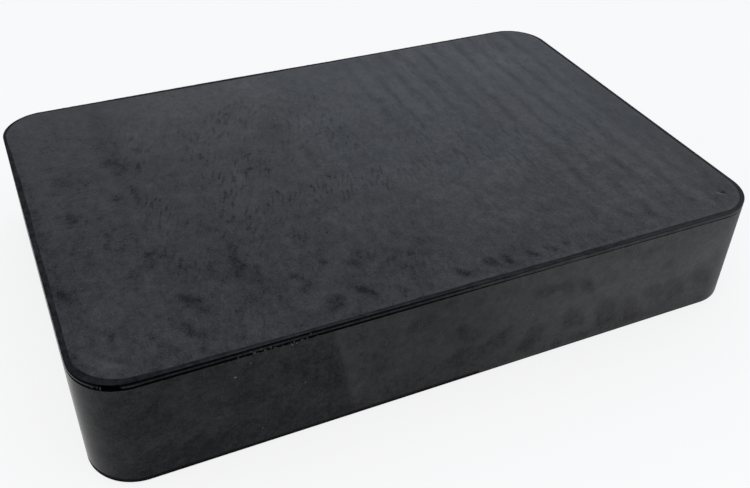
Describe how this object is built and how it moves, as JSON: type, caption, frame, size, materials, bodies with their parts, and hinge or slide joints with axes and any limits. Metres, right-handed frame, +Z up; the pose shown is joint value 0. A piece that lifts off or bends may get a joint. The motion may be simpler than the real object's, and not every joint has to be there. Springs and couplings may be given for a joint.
{
  "type": "rubber bench block",
  "caption": "Flat slab of solid black rubber with rounded corners and a trimmed top rim, laid on a bench to cushion work under a hammer or punch.",
  "frame": {"origin": "middle of the flat underside", "axes": "+X along the length, +Y along the width, +Z up out of the work face"},
  "size_m": [0.15, 0.1, 0.0262],
  "materials": {
    "black_rubber": "semi-gloss moulded black rubber with a faint grey bloom"
  },
  "bodies": {
    "root": {"rubber_block": "black_rubber"}
  },
  "joints": []
}
